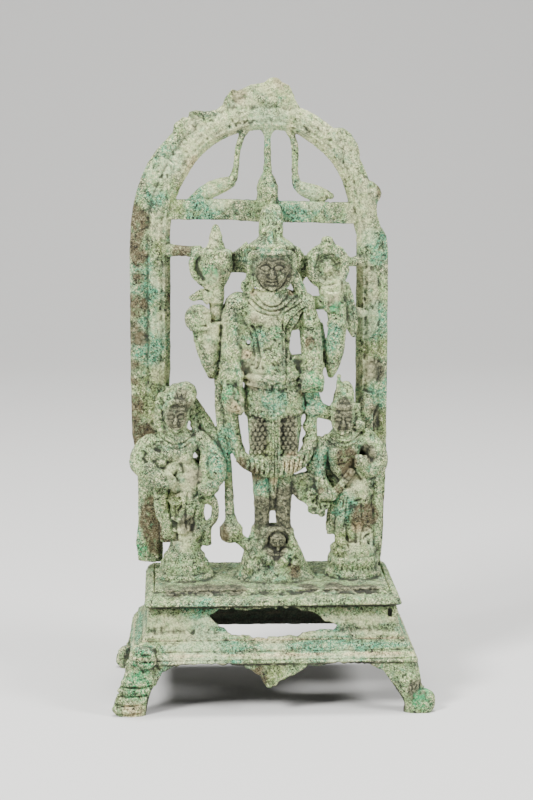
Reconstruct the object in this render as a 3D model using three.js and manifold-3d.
// Four-armed Vishnu with two attendants in an arch frame, on a hollow four-footed plinth.
// Small cast bronze altarpiece. Millimetres, +Z up, ground at Z = 0, the figures face -Y.
import * as THREE from 'three';
import Module from 'manifold-3d';
import { LoftGeometry } from 'three/addons/geometries/LoftGeometry.js';
import { mergeVertices } from 'three/addons/utils/BufferGeometryUtils.js';

const wasm = await Module();
wasm.setup();

// Driving dimensions
const HEIGHT = 250;
const ARCH = { spring: 200.3, drawnTop: 250 };
const PLINTH = { lip: 44.6, cavityTop: 41.6, trayFloor: 44.2, skirtEdge: 19.4 };
const SLAB = { top: 47, halfWidth: 47.3, front: -18.6, back: 26.6, gap: 0.3 };
const FRAME = { front: 16.5, back: 23.5, rebate: 2.2 };
const BAR = { front: 17.2, back: 22.8 };
const FIGURE_AXIS = 6;
const VISHNU = { height: 152, drawn: 152 };
const ATTENDANT = { height: 81, drawn: 81, left: -36, right: 34 };
const BRONZE = { color: 0x9aa88c, roughness: 0.88, metalness: 0.35 };

// Shape helpers

const point = (x, y, z) => new THREE.Vector3(x, y, z);

function solid(geometry) {
	const bare = new THREE.BufferGeometry();
	bare.setAttribute('position', geometry.getAttribute('position'));
	bare.setIndex(geometry.index);
	const merged = mergeVertices(bare, 1e-4);
	const index = merged.index.array;
	const faces = [];
	for (let i = 0; i < index.length; i += 3) {
		const [a, b, c] = [index[i], index[i + 1], index[i + 2]];
		if (a !== b && b !== c && c !== a) faces.push(a, b, c);
	}
	return new wasm.Manifold(new wasm.Mesh({
		numProp: 3,
		vertProperties: new Float32Array(merged.attributes.position.array),
		triVerts: new Uint32Array(faces),
	}));
}

function union(solids) {
	return solids.reduce((whole, next) => whole.add(next));
}

function geometryOf(manifold) {
	const mesh = manifold.getMesh();
	const geometry = new THREE.BufferGeometry();
	geometry.setAttribute('position', new THREE.BufferAttribute(new Float32Array(mesh.vertProperties), 3));
	geometry.setIndex(new THREE.BufferAttribute(new Uint32Array(mesh.triVerts), 1));
	return geometry;
}

// A ring of an ellipse across a path: wide is seen from the front, deep runs along Y.
function ring(centre, along, wide, deep, sides) {
	const inward = point(0, 1, 0).addScaledVector(along, -along.y);
	if (inward.length() < 0.3) inward.set(0, 0, 1).addScaledVector(along, -along.z);
	inward.normalize();
	const across = inward.clone().cross(along);
	return Array.from({ length: sides }, (_, i) => {
		const turn = (i + 0.5) / sides * Math.PI * 2;
		return centre.clone()
			.addScaledVector(across, wide * Math.cos(turn))
			.addScaledVector(inward, deep * Math.sin(turn));
	});
}

// A limb through stations [x, y, z, half width, half depth]. start and end round off a free end.
function limb(stations, sides = 8, { start = 0, end = 0 } = {}) {
	const path = new THREE.CatmullRomCurve3(stations.map(([x, y, z]) => point(x, y, z)), false, 'catmullrom', 0.5);
	const rings = stations.map(([x, y, z, wide, deep], i) => ({
		centre: point(x, y, z),
		along: path.getTangent(i / (stations.length - 1)),
		wide,
		deep,
	}));
	const cap = (from, reach) => ({
		centre: from.centre.clone().addScaledVector(from.along, reach * Math.min(from.wide, from.deep)),
		along: from.along,
		wide: from.wide * 0.6,
		deep: from.deep * 0.6,
	});
	if (start > 0) rings.unshift(cap(rings[0], -start));
	if (end > 0) rings.push(cap(rings[rings.length - 1], end));
	const sections = rings.map(({ centre, along, wide, deep }) => ring(centre, along, wide, deep, sides));
	return solid(new LoftGeometry(sections, { capStart: true, capEnd: true }));
}

// A body of level sections [x, y, z, half width, half depth], flat at both ends.
function stack(stations, sides = 12) {
	const up = point(0, 0, 1);
	const sections = stations.map(([x, y, z, w, d]) => ring(point(x, y, z), up, w, d, sides));
	return solid(new LoftGeometry(sections, { capStart: true, capEnd: true }));
}

// A turned shape about a vertical axis from a profile of [radius, height] that closes on the axis.
function turned(x, y, profile, sides = 12) {
	const points = profile.map(([r, z]) => new THREE.Vector2(r, z));
	const geometry = new THREE.LatheGeometry(points, sides);
	geometry.rotateX(Math.PI / 2);
	geometry.translate(x, y, 0);
	return solid(geometry);
}

// A turned shape about an axis along Y: a profile of [radius, distance towards the viewer].
function boss(x, y, z, profile, sides = 12) {
	const points = profile.map(([r, d]) => new THREE.Vector2(r, d));
	const geometry = new THREE.LatheGeometry(points, sides);
	geometry.rotateX(Math.PI);
	geometry.translate(x, y, z);
	return solid(geometry);
}

function ball(x, y, z, rx, ry, rz) {
	const geometry = new THREE.SphereGeometry(1, 8, 6);
	geometry.rotateX(Math.PI / 2);
	geometry.scale(rx, ry, rz);
	geometry.translate(x, y, z);
	return solid(geometry);
}

function block(x0, x1, y0, y1, z0, z1) {
	const geometry = new THREE.BoxGeometry(x1 - x0, y1 - y0, z1 - z0);
	geometry.translate((x0 + x1) / 2, (y0 + y1) / 2, (z0 + z1) / 2);
	return solid(geometry);
}

// A flat piece that stands in the XZ plane from front to back, from an outline of [x, z].
function plate(outline, front, back, holes = []) {
	const shape = new THREE.Shape(outline.map(([x, z]) => new THREE.Vector2(x, z)));
	shape.holes = holes.map((hole) => new THREE.Path(hole.map(([x, z]) => new THREE.Vector2(x, z))));
	const geometry = new THREE.ExtrudeGeometry(shape, { depth: back - front, bevelEnabled: false });
	geometry.rotateX(Math.PI / 2);
	geometry.translate(0, back, 0);
	return solid(geometry);
}

// A smooth run of count points through a few [x, z] guides.
function smooth(guides, count) {
	const curve = new THREE.SplineCurve(guides.map(([x, z]) => new THREE.Vector2(x, z)));
	return curve.getPoints(count).map((p) => [p.x, p.y]);
}

// The same open path moved sideways, to its left as it is walked.
function offset(path, distance) {
	return path.map((here, i) => {
		const before = path[Math.max(i - 1, 0)];
		const after = path[Math.min(i + 1, path.length - 1)];
		const along = new THREE.Vector2(after[0] - before[0], after[1] - before[1]).normalize();
		return [here[0] - along.y * distance, here[1] + along.x * distance];
	});
}

// Plinth

// A level rectangle with eased corners, walked anticlockwise from above.
function levelRectangle([z, halfWidth, front, back], radius) {
	const corners = [
		[halfWidth, back, 0],
		[-halfWidth, back, 1],
		[-halfWidth, front, 2],
		[halfWidth, front, 3],
	];
	const perCorner = 3;
	return corners.flatMap(([x, y, quarter]) => Array.from({ length: perCorner }, (_, i) => {
		const turn = (quarter + i / (perCorner - 1)) * Math.PI / 2;
		return point(
			x - Math.sign(x) * radius + radius * Math.cos(turn),
			y - Math.sign(y) * radius + radius * Math.sin(turn),
			z,
		);
	}));
}

function levelStack(levels, radius) {
	const sections = levels.map((level) => levelRectangle(level, radius));
	return solid(new LoftGeometry(sections, { capStart: true, capEnd: true }));
}

function plinthShell() {
	const outside = levelStack([
		[8, 57.2, -34.2, 34.2],
		[20.2, 56.8, -34.2, 34.2],
		[21.2, 57.5, -35.0, 35.0],
		[22.8, 57.0, -34.6, 34.6],
		[23.8, 55.8, -33.2, 33.2],
		[27.0, 54.2, -30.8, 30.8],
		[29.2, 52.4, -28.4, 28.4],
		[32.4, 50.7, -26.6, 26.6],
		[41.8, 49.6, -26.2, 26.2],
		[42.8, 50.9, -29.2, 29.2],
		[PLINTH.lip, 50.9, -29.4, 29.4],
		[45.4, 50.3, -28.6, 28.8],
		[SLAB.top + 0.1, 48.4, -19.8, 27.8],
	], 0.8);
	const inside = levelStack([
		[0, 55.0, -32.0, 32.0],
		[22.0, 55.0, -32.0, 32.0],
		[25.6, 53.0, -30.0, 30.0],
		[28.6, 49.8, -26.5, 26.5],
		[31.8, 47.9, -24.5, 24.5],
		[PLINTH.cavityTop, 47.4, -24.0, 24.0],
	], 0.8);
	const tray = block(
		-SLAB.halfWidth - SLAB.gap, SLAB.halfWidth + SLAB.gap,
		SLAB.front - SLAB.gap, SLAB.back + SLAB.gap,
		PLINTH.trayFloor, SLAB.top + 5,
	);
	return outside.subtract(inside).subtract(tray);
}

// The lower edges: a broken pendant in front, plain at the back and sides.
function skirtCuts() {
	const edge = PLINTH.skirtEdge;
	const front = [
		[-70, -2], [70, -2], [70, 12], [47, 12], [43.6, 17], [38, edge],
		[26, 20.4], [14, 19.2], [6.4, 15.2], [-2.4, 10.7], [-6.6, 16.2], [-13.6, 20],
		[-29, 21.2], [-40, 20], [-44.5, 17.5], [-47, 12], [-70, 12],
	];
	const back = [
		[-70, -2], [70, -2], [70, 12], [47, 12], [43.6, 16], [38, 18.2],
		[-38, 18.2], [-43.6, 16], [-47, 12], [-70, 12],
	];
	const side = block(-70, 70, -28, 28, -2, 17.6);
	return union([plate(front, -40, -28), plate(back, 28, 40), side]);
}

// The ragged breach in the front wall and the small casting flaws.
function breaches() {
	const breach = [
		[-25.7, 37.8], [-22.9, 34.8], [-19.7, 33.1], [-16.6, 30.4], [-8, 29.8], [2, 29.7], [10.6, 30.1],
		[15.8, 31.6], [19.6, 32.3], [24.6, 31.8], [25.8, 33.6], [20.8, 35.4], [18.6, 37.8], [14.6, 39.9],
		[6.6, 41.2], [-4, 41], [-11.3, 40.6], [-17.3, 40.8], [-22.5, 40.8],
	];
	const flaws = [
		block(45.8, 47.5, -40, -20, 36.8, 40.4),
		block(-39.4, -36.8, -25.5, -22.5, 40, 48),
		block(-16.9, -15.6, -24.8, -23.6, 40, 48),
	];
	return union([plate(breach, -40, -20), ...flaws]);
}

// A smooth foot that splays to its corner and ends in a rounded toe, thickened inside the corner.
function plainFoot(sideways, towards) {
	const across = (x) => x * sideways;
	const along = (y) => y * towards;
	const leg = limb([
		[across(48.4), along(27.6), 26, 4, 3],
		[across(51.2), along(31.2), 18.5, 6.7, 3.4],
		[across(53.6), along(32.9), 11.5, 5.5, 3.1],
		[across(55.2), along(33.4), 8, 4.9, 2.8],
		[across(58), along(33.4), 4.4, 6.6, 2.9],
		[across(58.4), along(33.4), -1.5, 6.7, 3.1],
	], 7);
	const corner = block(-2.5, 2.5, -2, 2, 18, 26.2).translate(across(51.9), along(29), 0);
	return leg.add(corner);
}

// The left front foot keeps its scroll and the ribs that cross it.
function ribbedFoot() {
	const head = [[-51, -29.5, 27, 5.2, 4], [-52.4, -31.8, 19, 6.9, 3.5]];
	const shank = [];
	const ribs = 4;
	const pitch = 3.7;
	for (let i = 0; i < ribs; i++) {
		const z = 15.4 - i * pitch;
		const x = -53.4 - i * 1.5;
		shank.push([x, -33.2, z, 6.3, 2.4], [x - 0.8, -33.4, z - pitch / 2, 6.8, 3]);
	}
	const toe = [[-57.4, -33.4, -1.5, 6.2, 2.8]];
	const strap = limb([...head, ...shank, ...toe], 7);
	const scroll = boss(-51.3, -35, 23.4, [[0, -2], [4.6, -2], [4.9, 0.4], [3.8, 1.2], [0, 1]], 9);
	return union([strap, scroll]);
}

function plinth() {
	const feet = [ribbedFoot(), plainFoot(1, -1), plainFoot(1, 1), plainFoot(-1, 1)];
	const ground = block(-90, 90, -60, 60, -20, 0);
	return union([plinthShell().subtract(skirtCuts()), ...feet]).subtract(breaches()).subtract(ground);
}

// Arch frame

// A height in the arch above the crossbar, which rises or sinks with the overall height.
function rise(z) {
	const share = (HEIGHT - ARCH.spring) / (ARCH.drawnTop - ARCH.spring);
	return z > ARCH.spring ? ARCH.spring + (z - ARCH.spring) * share : z;
}

// The inner edge of the frame, from the foot of the left pilaster over the arch to the right one.
function innerEdge() {
	const left = [[-44, 50], [-43.6, 90], [-41.8, 104], [-40.4, 130], [-40, 165], [-40, 187]];
	const arch = smooth([
		[-39.4, 194], [-37.4, 201.5], [-33.4, 209.5], [-28, 217.6], [-20.5, 223.8], [-11.5, 227.8], [-3, 228.8],
		[5, 228.6], [12, 227], [19.5, 222], [25.5, 216.5], [29.8, 209.5], [32.6, 201.5], [34.4, 193.5],
	], 14);
	const right = [[36.6, 186], [36.6, 130], [36.4, 104], [36.2, 50]];
	return [...left, ...arch, ...right];
}

// The outer edge keeps the broken stumps of the flame border.
const OUTER_EDGE = [
	[47.2, SLAB.top - 1], [48.2, 58], [48.6, 75], [49.4, 92], [49.5, 180], [48.6, 186], [46.8, 188.8],
	[44.9, 190.4], [44.5, 196], [44.8, 199.5], [46.6, 203.2], [45.2, 206], [43.2, 207.7], [39.6, 208.6],
	[37.4, 209.6], [36.9, 213], [37.6, 219.5], [36.4, 223.2], [34, 227], [30.8, 229.5], [26, 229.3],
	[23, 231], [17.4, 232], [15.6, 234], [13, 236.2], [11.4, 239.6], [10.4, 243], [8.6, 246.8],
	[5.8, 247.9], [4.4, 249.4], [2.5, ARCH.drawnTop], [0.4, 249.2], [-1.4, 247.8], [-6.8, 246.9], [-10, 245.4],
	[-12.2, 244.4], [-14.2, 245.2], [-15.6, 243.8], [-17.2, 241.6], [-18.6, 238.6], [-21, 236.8],
	[-25, 236.2], [-29, 236.8], [-31.9, 236.1], [-32.4, 233.6], [-34.2, 234], [-36, 232.6], [-38, 231],
	[-38.6, 227.6], [-41, 225.4], [-45, 221], [-48.6, 216], [-51, 211], [-53.4, 204.4], [-55, 198],
	[-56, 190], [-56.5, 180], [-56.6, 130], [-56.2, 104], [-54.2, 92], [-53.4, 76], [-54.4, 64], [-55.2, 57],
	[-54.4, 52.6], [-50.4, 51.2], [-47.6, 52.2], [-44, 50],
];

function archFrame() {
	const raised = (path) => path.map(([x, z]) => [x, rise(z)]);
	const inner = raised(innerEdge());
	const outer = raised(OUTER_EDGE.slice(0, -1));
	const backing = plate([...inner, ...outer], FRAME.front + FRAME.rebate, FRAME.back);
	const outline = [...offset(inner, 2.6), ...offset(inner, 8.6).reverse()];
	const moulding = plate(outline, FRAME.front, FRAME.front + FRAME.rebate + 0.5);
	return union([backing, moulding]);
}

function crossbar() {
	return plate([
		[-42, 193.9], [-42, ARCH.spring], [-20, 200.9], [-6, ARCH.spring], [34, 199.2], [40, 199.4], [40, 191],
		[30, 191.2], [8, 192.4], [-6, 192.6], [-14, 193.8],
	], BAR.front, BAR.back);
}

function spindle() {
	const y = (BAR.front + BAR.back) / 2;
	const bulb = turned(-0.2, y, [
		[0, 198], [4.6, 198], [3.9, 202], [4.1, 206], [3.2, 209], [1.9, 211.6], [1.5, 216], [1.4, 226],
		[2.6, 228.6], [2.6, 231], [0, 231],
	].map(([r, z]) => [r, rise(z)]), 9);
	const leafEdge = [[-2.4, 199], [-2.2, 204], [0.8, 210.6], [3.4, 204], [3.2, 199]];
	const leaf = plate(leafEdge.map(([x, z]) => [x, rise(z)]), y - 5.4, y);
	return union([bulb, leaf]);
}

// A long-necked bird whose beak meets the arch and whose body lies on the crossbar.
function bird(necks, body) {
	const y = (BAR.front + BAR.back) / 2;
	const neck = limb(necks.map(([x, z, w]) => [x, y, rise(z), w, w * 1.15]), 8);
	const trunk = plate(body.map(([x, z]) => [x, rise(z)]), y - 2.6, y + 2.4);
	return union([neck, trunk]);
}

function birds() {
	const left = bird(
		[[-8.6, 230, 1.8], [-11, 225.4, 1.3], [-12.4, 219.6, 1.2], [-13, 213.6, 1.3], [-14.4, 208.6, 2]],
		[
			[-13, 209], [-16.6, 210.2], [-22, 209.2], [-26, 207], [-29.4, 203.8], [-32.4, 200.4],
			[-24, 199.6], [-19, 201.2], [-15.6, 203.6], [-13.4, 206.4],
		],
	);
	const right = bird(
		[[7.6, 230.4, 1.8], [10.4, 224.8, 1.4], [11.2, 218.8, 1.5], [11, 212.4, 1.3], [11.6, 207, 1.9]],
		[
			[10.2, 208], [13.4, 208.9], [18, 207.4], [21, 206.6], [24, 204.4], [26.8, 203.2], [26.6, 201],
			[25, 199], [13.6, 199.4], [12.6, 202.4], [10.4, 205.4],
		],
	);
	return union([left, right]);
}

// Ground slab

function groundSlab() {
	const { top, halfWidth, front, back } = SLAB;
	const slab = levelStack([
		[PLINTH.trayFloor + SLAB.gap, halfWidth, front, back],
		[top - 0.8, halfWidth, front, back],
		[top, halfWidth - 0.8, front + 0.8, back - 0.8],
	], 0.6);
	return slab;
}

// Vishnu, drawn above the slab and about his own axis

function vishnuTrunk() {
	return stack([
		[1.6, 0, 49, 9.6, 6],
		[2.1, 0, 61, 10.9, 7.2],
		[2, 0, 66.4, 11.2, 7.6],
		[2, -0.2, 67.2, 12.2, 8.4],
		[1.7, 0, 74, 12.6, 8.4],
		[1.2, 0, 80, 11.6, 7.8],
		[0.4, -0.4, 86.4, 9.7, 7.4],
		[0.9, 0, 93, 8.2, 6.4],
		[1.2, 0, 97, 7.8, 5.9],
		[1.2, 0, 102, 9.2, 6.2],
		[1, 0, 107, 11.4, 6.8],
		[1, 0.2, 111, 13.4, 6.6],
		[0.8, 0.6, 114.4, 13.2, 5.4],
		[0.8, 0.8, 117, 9, 4.4],
		[0.8, 0.6, 119, 5.4, 4.2],
		[0.8, 0.4, 122, 5, 4.2],
	], 12);
}

function vishnuBeltAndCollar() {
	const belt = stack([
		[0.8, -0.4, 80, 10.6, 8.6],
		[0.7, -0.6, 81, 11.4, 9],
		[0.5, -0.8, 83.6, 10.6, 8.9],
		[0.5, -0.6, 84.6, 9.8, 8],
	], 12);
	const collar = stack([
		[0.8, -0.6, 112.6, 9.8, 6.6],
		[0.8, -0.8, 114.2, 9.8, 6.9],
		[0.8, -0.4, 116.6, 7.6, 5.7],
	], 12);
	return union([belt, collar]);
}

function vishnuLegs() {
	const left = stack([
		[-3.2, -0.6, 12, 4, 4.4],
		[-3.4, -0.8, 22, 3, 3.7],
		[-3.6, -0.8, 31, 3.4, 4.2],
		[-3.8, -0.6, 39, 4, 4.8],
		[-3.6, -0.2, 52, 4.8, 5.6],
	], 8);
	const right = stack([
		[6.4, -0.6, 12, 4, 4.4],
		[6.1, -0.8, 22, 3.1, 3.7],
		[5.9, -0.8, 31, 3.6, 4.2],
		[5.8, -0.6, 39, 4.3, 4.8],
		[6.6, -0.2, 52, 5.2, 5.6],
	], 8);
	const feet = [-4, 6.6].map((x) => limb([
		[x, 0, 15, 3.4, 2.6],
		[x, -4, 14.4, 3.2, 2.2],
		[x, -7.4, 13.4, 2.8, 1.6],
	], 6));
	const web = stack([
		[1.2, 1, 27, 2.6, 2],
		[1.2, 1, 36, 2.6, 2.6],
		[1.2, 0.8, 50, 3, 4],
	], 6);
	return union([left, right, web, ...feet]);
}

// The cloth: two patterned panels on the thighs and a pleated fall between them.
function vishnuCloth() {
	const pleat = limb([
		[1.8, -7.2, 69, 2.4, 2],
		[1.9, -7, 60, 2.6, 2.2],
		[1.7, -6.4, 50, 2.4, 2.4],
		[1.4, -4.6, 41, 1.8, 2],
		[1.3, -3, 33, 1.2, 1.4],
	], 6);
	const panels = [[-4.9, 3.6], [7.5, 3.7]].map(([x, wide]) => limb([
		[x, -5.8, 65, wide, 1.8],
		[x, -6, 58, wide, 1.8],
		[x, -5.4, 51.6, wide * 0.92, 1.8],
	], 6));
	return union([pleat, ...panels]);
}

// The long garland hangs from the hands and loops across the knees.
function garland() {
	return limb([
		[-16.2, 0, 74, 2.8, 3],
		[-15.2, -0.4, 65, 2.7, 2.6],
		[-13.6, -1.8, 56, 2.5, 2.4],
		[-11.6, -3.8, 50.2, 2.7, 2.4],
		[-6.6, -6, 47.4, 3.6, 2.4],
		[2, -7.6, 46.4, 4.4, 2.4],
		[9.6, -6.2, 47.6, 3.8, 2.4],
		[14.6, -4, 51.4, 2.8, 2.4],
		[17, -1.6, 59, 2.5, 2.4],
		[17, -0.4, 68, 2.6, 2.6],
		[17.6, 0, 76, 2.8, 3],
	], 6);
}

// The arms that hang: an emblem in the broken left hand and a closed right fist.
function lowerArms() {
	const left = limb([
		[-12.4, 1.6, 113.6, 4, 4.4],
		[-15.2, 1, 107, 4.1, 4.2],
		[-15.4, 0.2, 99, 4.1, 4],
		[-15.7, -1, 89, 4.3, 3.9],
		[-16.2, -2, 81, 4.4, 4],
	], 8, { start: 0.4 });
	const hand = stack([
		[-13.6, -1.6, 67, 3.4, 3],
		[-15.4, -2, 71, 5.4, 4.2],
		[-16, -2.4, 76, 6.2, 4.8],
		[-16.2, -2.6, 80, 5.6, 4.6],
		[-15.6, -2.6, 83, 3, 3.4],
		[-14.6, -3, 86.6, 1.1, 1.4],
	], 8);
	const right = limb([
		[12.6, 1.6, 113.4, 4, 4.4],
		[15.6, 1, 107, 4.3, 4.2],
		[16.8, 0.2, 99, 4.5, 4],
		[17.4, -1.2, 89, 4.4, 3.9],
		[17, -2, 82, 4.6, 4],
	], 8, { start: 0.4 });
	const fist = ball(17, -2.4, 81.2, 5.7, 5, 5.6);
	const bracelet = stack([
		[17.4, -1.4, 86.6, 5, 4.6],
		[17.4, -1.4, 88.8, 5, 4.6],
	], 8);
	return union([left, hand, right, fist, bracelet]);
}

// Thin metal left between the trunk and the hanging arms, with one small hole and one open slot.
function armWebs() {
	const hole = [[-9.6, 97], [-9.1, 95.9], [-8.2, 95.8], [-7.5, 96.8], [-7.9, 98], [-9, 98.2]];
	const left = plate([[-14, 82], [-8, 82], [-5, 96], [-8, 111], [-14, 110]], 0, 3, [hole]);
	const belowSlot = plate([[9, 82], [15, 82], [15, 92], [8, 91]], 0, 3);
	const aboveSlot = plate([[8, 101.6], [14, 102.4], [14, 110], [10, 110]], 0, 3);
	return union([left, belowSlot, aboveSlot]);
}

// The raised pair of arms: bent sharply at the elbow, with fists at shoulder height.
function upperArms() {
	const left = [
		limb([
			[-14, 3.4, 113, 3.6, 3.4],
			[-19.4, 4, 100, 3.6, 3.4],
			[-22.4, 2.4, 85, 2.4, 2.6],
		], 6),
		limb([
			[-23.4, 2.2, 82.6, 1.6, 2],
			[-24, 1.6, 88, 3.6, 3],
			[-25.2, 0.8, 97, 5.3, 3.7],
			[-25.8, 0, 105, 6, 4],
		], 8, { start: 0.4 }),
		ball(-29, -0.4, 106.8, 5.7, 5, 6),
	];
	const right = [
		limb([
			[13, 3.4, 113, 3.6, 3.4],
			[19, 3.8, 112.4, 2.8, 3.2],
			[27, 3, 113, 3.6, 3.2],
		], 6),
		limb([
			[25, 2.2, 82.6, 1.4, 2],
			[25.8, 1.8, 87, 3, 2.8],
			[27, 1.2, 96, 3.9, 3.3],
			[27.6, 0.8, 105, 3.7, 3.4],
			[26.6, 1, 112, 4.4, 3.6],
		], 8, { start: 0.4 }),
		limb([
			[22.8, 3, 86, 1.4, 2],
			[21.8, 3, 94, 1.7, 2.3],
			[19.6, 3, 104, 2.4, 2.6],
		], 5),
	];
	return union([...left, ...right]);
}

// A calm, plain head with a tall crown that leans back to the crossbar.
function vishnuHead() {
	const face = stack([
		[0.8, 0.4, 117.6, 3, 3],
		[0.8, -0.6, 119.4, 4.8, 5],
		[0.8, -0.8, 122.6, 6.2, 6.2],
		[0.8, -0.6, 127.4, 6.9, 6.8],
		[0.8, 0, 133.6, 6.8, 6.4],
	], 10);
	const nose = limb([
		[0.8, -6.2, 129.6, 0.8, 0.9],
		[0.8, -7.1, 126.2, 1.1, 1],
		[0.8, -7, 124.8, 1.4, 1],
	], 4);
	const hair = stack([
		[0.4, 3, 122.6, 8.2, 3.6],
		[0.4, 2.6, 126, 10, 4.4],
		[0.7, 1.8, 134.4, 10.3, 5],
	], 8);
	const crown = stack([
		[0.8, 0, 132.6, 8.4, 7.9],
		[0.8, 0, 134, 8.8, 8.3],
		[0.8, 0, 135.8, 8.8, 8.3],
		[0.8, 1, 138, 7.2, 6.6],
		[0.8, 1.8, 139.4, 5, 5],
		[1, 5.4, 146, 4.9, 4.8],
		[1.2, 7.4, 149, 4.2, 4.4],
		[1.4, 9, 152, 2.4, 3],
	], 10);
	const wings = [
		plate([[-16.4, 125], [-8, 124.6], [-7, 134], [-9, 137.4], [-13.6, 133.6], [-16.6, 132]], 3, 6.4),
		plate([[8, 123], [12.8, 119.6], [15.6, 124], [15.2, 131], [12.4, 134.4], [9, 136.6], [6, 134]], 3, 6.4),
	];
	const earrings = [-1, 1].map((side) => limb([
		[0.8 + side * 8.2, -0.4, 124, 1.7, 1.8],
		[0.8 + side * 9.7, -1, 119.6, 2.2, 2],
		[0.8 + side * 11, -1.2, 115, 1.8, 1.8],
	], 6));
	return union([face, nose, hair, crown, ...wings, ...earrings]);
}

// Emblems of the raised hands

function mace() {
	const head = turned(-22.8, 2, [
		[0, 112], [3.6, 112], [4.2, 118.6], [8.2, 124.4], [9.1, 127.6], [9, 129.4],
		[8.3, 130.2], [8.7, 131.8], [7.2, 133.2], [4.4, 134.4], [3.6, 138.4], [1.4, 144], [0, 144],
	], 10);
	const shaft = limb([
		[-21.8, 2, 116, 2.9, 2.6],
		[-21, 3.4, 98, 2.2, 2.2],
		[-20.6, 3.4, 80, 1.7, 1.9],
		[-20.2, 2.4, 70, 2.1, 1.9],
		[-18.4, 0.8, 54, 2.1, 1.9],
		[-16.9, 0, 41, 1.7, 1.8],
		[-16.2, 0, 24, 2, 2],
	], 6);
	const bell = turned(-15.8, 0, [[0, 13.8], [3.6, 14], [4.8, 17], [4.8, 20], [2.8, 22.6], [2, 25], [0, 25]], 9);
	const ribbon = plate([
		[-27.6, 118.8], [-33, 115.2], [-31, 113.6], [-27.6, 114.2], [-25, 112], [-24, 117],
	], -1, 2);
	return union([head, shaft, bell, ribbon]);
}

function disc() {
	const wheel = boss(23.6, 2.6, 127, [
		[0, -2.2], [9.2, -2.2], [9.6, 0.6], [8.4, 2], [6.8, 2], [5.8, 0.9], [4.6, 1.9], [2.6, 1], [0, 1.8],
	], 14);
	const finial = limb([
		[23.8, 2.6, 134, 3.8, 2.6],
		[23.7, 2.6, 136.6, 2.4, 2],
		[23.6, 2.6, 138.6, 1.2, 1.2],
	], 6);
	const stem = limb([
		[24.6, 2.2, 119.6, 5, 2.8],
		[26, 1.8, 112, 4.8, 3.2],
	], 6);
	const streamer = plate([
		[28.6, 121.4], [32.4, 120.8], [34, 116], [35.2, 110.6], [36.2, 105], [35.4, 98.6], [33.8, 98.2],
		[32, 101.6], [29.4, 103.6], [27, 112],
	], 1.4, 5);
	return union([wheel, finial, stem, streamer]);
}

// Attendants, drawn above the slab and about their own axes

function lotusBase(radius) {
	return turned(0, 0, [
		[0, -0.4], [radius, -0.4], [radius, 1.6], [radius * 0.86, 3], [radius * 0.84, 6.6],
		[radius * 0.64, 9.4], [radius * 0.58, 13], [0, 13],
	], 10);
}

function leftAttendant() {
	const body = stack([
		[1, 0, 12, 5.8, 5],
		[0, 0, 20, 7, 5.4],
		[0.4, 0, 27, 6.4, 5],
		[1, 0, 38, 7.4, 6],
		[0, 0, 42, 7.2, 5.6],
		[-1.6, 0, 48, 7.6, 5.4],
		[-2, 0, 53, 9.6, 5.8],
		[-2, 0.2, 56.4, 11, 5.4],
		[-2.6, 0.4, 60, 6.4, 4],
		[-2.2, 0, 63, 3.8, 3.6],
	], 9);
	const head = stack([
		[-2.2, -0.4, 60.4, 3, 2.8],
		[-2, -1, 62.6, 4.4, 4.4],
		[-1.6, -1, 67.4, 5.2, 5.2],
		[-0.6, 0, 73, 5.8, 5.4],
		[0, 0.4, 77, 5.8, 5.4],
		[0.4, 0.6, 79.8, 3.8, 4],
		[0.4, 0.6, 81, 1.6, 2],
	], 8);
	const hair = [
		limb([
			[-5, 2, 76, 3, 3],
			[-8.6, 1.6, 70, 2.8, 3],
			[-9.6, 1, 63, 2.6, 2.8],
			[-8.2, 0.4, 58, 2.2, 2.6],
		], 6),
		limb([
			[4, 2, 76, 2.8, 2.8],
			[4.6, 1, 61, 1.9, 2.4],
		], 6),
	];
	const leftArm = limb([
		[-12, 0, 57, 3.4, 3.6],
		[-16, -0.6, 53, 3.8, 3.8],
		[-18.6, -2.4, 48.6, 3.4, 3.6],
		[-16.6, -5.4, 45.6, 3.4, 3],
		[-8.4, -7, 41.6, 3.6, 3],
	], 7, { end: 0.4 });
	const rightArm = limb([
		[7, 0, 58, 3.2, 3.6],
		[11.6, -0.4, 53.6, 3.8, 3.8],
		[14.4, -1.4, 48, 4, 4],
		[14.6, -3, 42.6, 3.8, 4],
		[11.4, -4.2, 37.6, 4, 3.8],
		[7.4, -4.2, 34.6, 3.4, 3.2],
	], 7);
	const ribbon = limb([
		[9.6, -3.4, 34.6, 3.6, 2],
		[13.6, -2.4, 29.4, 1.5, 1.5],
		[13.4, -2, 25, 1.5, 1.5],
		[10.4, -1.6, 20.8, 1.9, 1.7],
		[9.2, -0.8, 13.6, 3, 2],
	], 6);
	const ribbonInner = limb([
		[8.4, -2.6, 34, 1.6, 1.8],
		[7.8, -2.2, 27, 1.4, 1.8],
		[9.2, -1.6, 19, 1.6, 1.8],
	], 5);
	const sleeve = stack([
		[-9, -0.6, 24, 1.4, 2.4],
		[-9.6, -0.8, 34, 2.1, 2.9],
		[-9, -1.4, 44, 2.4, 3],
	], 6);
	return union([lotusBase(11.4), body, head, ...hair, leftArm, rightArm, ribbon, ribbonInner, sleeve]);
}

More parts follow.
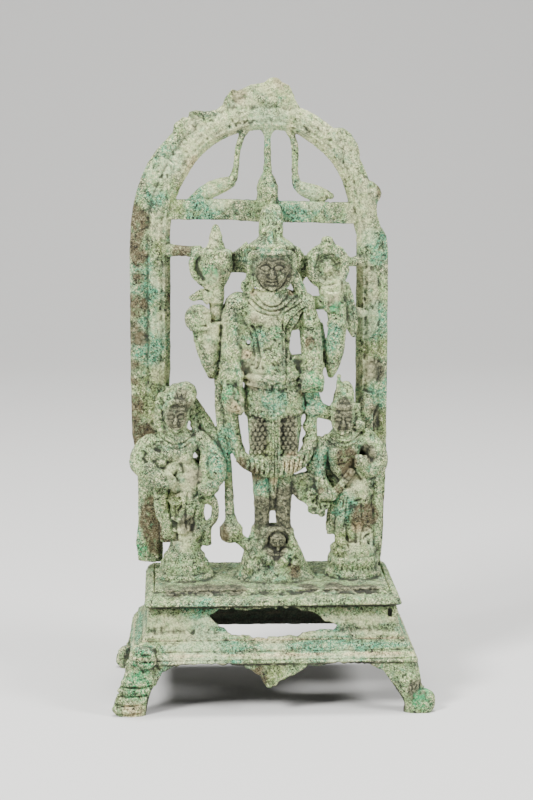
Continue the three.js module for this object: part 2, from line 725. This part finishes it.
function rightAttendant() {
	const body = stack([
		[0.6, 0, 12, 5.6, 5],
		[0.4, 0, 24, 6.6, 5.2],
		[1.6, 0, 30, 7, 5.6],
		[2.2, 0, 35, 7.2, 5.8],
		[0, 0, 40, 5.4, 5],
		[-4, 0, 44.4, 4.8, 4.8],
		[-4.4, 0, 50, 6, 5.4],
		[-2, 0.2, 56.4, 9.4, 5.2],
		[-2.8, 0.4, 59.4, 6.6, 4.2],
		[-3.6, 0.2, 61.6, 3.8, 3.8],
	], 9);
	const legs = [
		stack([[-3.6, -1.4, 13, 2.6, 3.4], [-3.4, -1.8, 21, 2.8, 3.6], [-3, -1.8, 28, 3.2, 4]], 6),
		stack([[8.6, -1, 12, 2.4, 3.2], [8, -1.4, 30, 2.6, 3.6]], 6),
	];
	const head = stack([
		[-4, -0.6, 58.6, 3, 3],
		[-3.8, -1.2, 61, 4.4, 4.4],
		[-3.8, -1.3, 66, 5, 5.2],
		[-3.6, -0.6, 69.6, 5.7, 5.8],
		[-3.2, -0.2, 71.8, 5.4, 5.6],
		[-2.8, 0.4, 76, 4.2, 4.4],
		[-3, 0.6, 79.4, 1.4, 1.6],
	], 8);
	const spike = limb([
		[-5.4, 0.6, 72, 2, 2],
		[-5.5, 0.6, 82, 0.7, 0.8],
	], 5);
	const hair = limb([
		[1.4, 1.4, 70, 2.4, 3],
		[3.6, 1.4, 65, 2.4, 3],
		[4.6, 1, 58, 2.6, 3],
	], 6);
	const curl = limb([
		[4.4, 0.4, 60, 2, 2.2],
		[7.8, -0.4, 59, 1.8, 2],
		[9.8, -0.6, 54.6, 1.5, 1.8],
	], 6);
	const leaf = limb([
		[5.4, 3.6, 71.4, 1.2, 1.4],
		[8.4, 3.4, 70, 1.5, 1.2],
		[9.4, 3.2, 66, 1.4, 1.2],
		[7, 3, 62, 1.4, 1.2],
	], 5);
	const leftArm = limb([
		[-9.4, 0, 57, 2.8, 3.2],
		[-12.8, -0.6, 50, 2.6, 3],
		[-13.6, -1.6, 43, 2.5, 2.8],
		[-10.6, -3.8, 34, 3.4, 3],
	], 6);
	const rightArm = limb([
		[5, 0, 56, 3.8, 3.8],
		[9.6, -0.6, 52, 4.4, 4],
		[11, -2, 47.4, 4, 4],
		[7.4, -4.4, 45.2, 3.4, 3.4],
		[3.4, -5.4, 48.6, 3, 3],
	], 7, { end: 0.4 });
	const staff = limb([
		[-0.2, -5.6, 44.6, 1.5, 1.4],
		[-9.4, -5, 32.6, 1.6, 1.5],
	], 6);
	const drapery = stack([
		[-8, -0.6, 14.6, 2.2, 2],
		[-8.2, -0.8, 22, 2.6, 2.4],
		[-7.4, -1, 30, 2.4, 2.8],
	], 6);
	const rosette = boss(-14.8, -2.6, 27, [[0, -1.6], [2.8, -1.6], [3.1, 0.4], [2, 1.4], [0, 1]], 8);
	const rosetteStem = limb([
		[-14.4, -2.4, 28, 1.8, 1.6],
		[-12.2, -3, 33.4, 2.2, 2],
	], 5);
	return union([
		lotusBase(11.4), body, ...legs, head, spike, hair, curl, leaf, leftArm, rightArm, staff, drapery,
		rosette, rosetteStem,
	]);
}

// The mound with the bust of the earth goddess between the feet

function mound() {
	const hill = stack([
		[3, -3, -0.4, 16, 13],
		[3, -2.6, 1, 15.2, 11.8],
		[2.4, -2.2, 4, 13.4, 9.6],
		[1.8, -1.6, 8, 11.8, 7.8],
		[1.4, -1, 13, 10.4, 6.4],
		[1.4, -0.4, 20, 7.8, 4.8],
	], 12);
	const bust = stack([
		[3, -8.6, 1, 7, 3.6],
		[3, -8.4, 6, 7.4, 4],
		[3, -6.6, 10.4, 6, 3.4],
		[3, -5.8, 12.6, 3, 2.6],
	], 8);
	const head = ball(3.2, -6.8, 15.4, 2.9, 2.8, 3.4);
	const arms = [-1, 1].map((side) => limb([
		[3 + side * 5.6, -7.4, 9.6, 1.9, 1.9],
		[3 + side * 8, -6.4, 11.6, 1.8, 1.8],
		[3 + side * 7, -5.4, 15.4, 1.7, 1.7],
	], 5));
	return union([hill, bust, head, ...arms]);
}

// Struts and webs that the caster left between the figures and the frame

function struts() {
	const axis = FIGURE_AXIS;
	const behind = FRAME.front + 3;
	const web = plate([
		[8.6, 88.6], [8.8, 82], [11.4, 79.2], [15, 77.2], [20, 77.6], [25, 79], [24.6, 84], [21.6, 89.6],
		[16, 90.6],
	], axis - 3.4, axis + 0.4, [[[14.4, 82], [15.4, 80.6], [16.8, 81.4], [16.8, 83.4], [15.4, 83.6]]]);
	const runs = [
		[[-28, axis + 3, 180, 3, 2.6], [-34, axis + 7, 180.4, 2.2, 2.6], [-42, axis + 13, 180.4, 2.8, 3]],
		[[30, axis + 4, 176.4, 2.6, 2.4], [34, axis + 8, 175.6, 1.9, 2.2], [39, axis + 12, 176, 2.6, 3]],
		[[33, axis + 3, 157, 2, 2.4], [36.4, axis + 8, 155, 1.8, 2.4], [40, axis + 13, 154, 2.2, 2.6]],
		[[-32.6, axis + 2, 119, 3.6, 2], [-25.4, axis + 2, 109, 3, 2], [-19.8, axis + 1, 98, 2, 2]],
		[[16.6, axis - 1, 124, 3.2, 2.8], [19.6, axis, 116.4, 3.2, 2.6], [26, axis + 1, 113.6, 2.6, 2.6]],
		[[-14.4, axis - 0.6, 64, 2.2, 2], [-6, axis - 3, 57.6, 2.6, 2.4]],
		[[20.6, axis, 104, 2.6, 2.4], [17.6, axis - 1.4, 91, 3, 2.6]],
	].map((stations) => limb(stations, 6));
	const tabs = [
		[-46, -40, axis + 6, 86, 104],
		[-47, -40, axis + 2, 60, 80],
		[36, 43, axis + 2, 60, 104],
		[-42, -34, axis + 3, 118, 124],
		[34, 42, axis + 3, 108, 126],
	].map(([x0, x1, front, z0, z1]) => block(x0, x1, front, behind, z0, z1));
	return union([web, ...runs, ...tabs]);
}

function vishnu() {
	const body = union([
		vishnuTrunk(), vishnuBeltAndCollar(), vishnuLegs(), vishnuCloth(), garland(), lowerArms(), armWebs(),
		upperArms(), vishnuHead(), mace(), disc(), mound(),
	]);
	return body.scale(VISHNU.height / VISHNU.drawn).translate(0, FIGURE_AXIS, SLAB.top);
}

function attendant(figure, x) {
	return figure.scale(ATTENDANT.height / ATTENDANT.drawn).translate(x, FIGURE_AXIS, SLAB.top);
}

function figureGroup() {
	return union([
		groundSlab(), archFrame(), crossbar(), spindle(), birds(), vishnu(),
		attendant(leftAttendant(), ATTENDANT.left), attendant(rightAttendant(), ATTENDANT.right), struts(),
	]);
}

// The finished group

function named(name, manifold) {
	const mesh = new THREE.Mesh(geometryOf(manifold), new THREE.MeshStandardMaterial(BRONZE));
	mesh.name = name;
	return mesh;
}

const altarpiece = new THREE.Group();
altarpiece.add(named('plinth', plinth()));
altarpiece.add(named('figure_group', figureGroup()));

export default altarpiece;
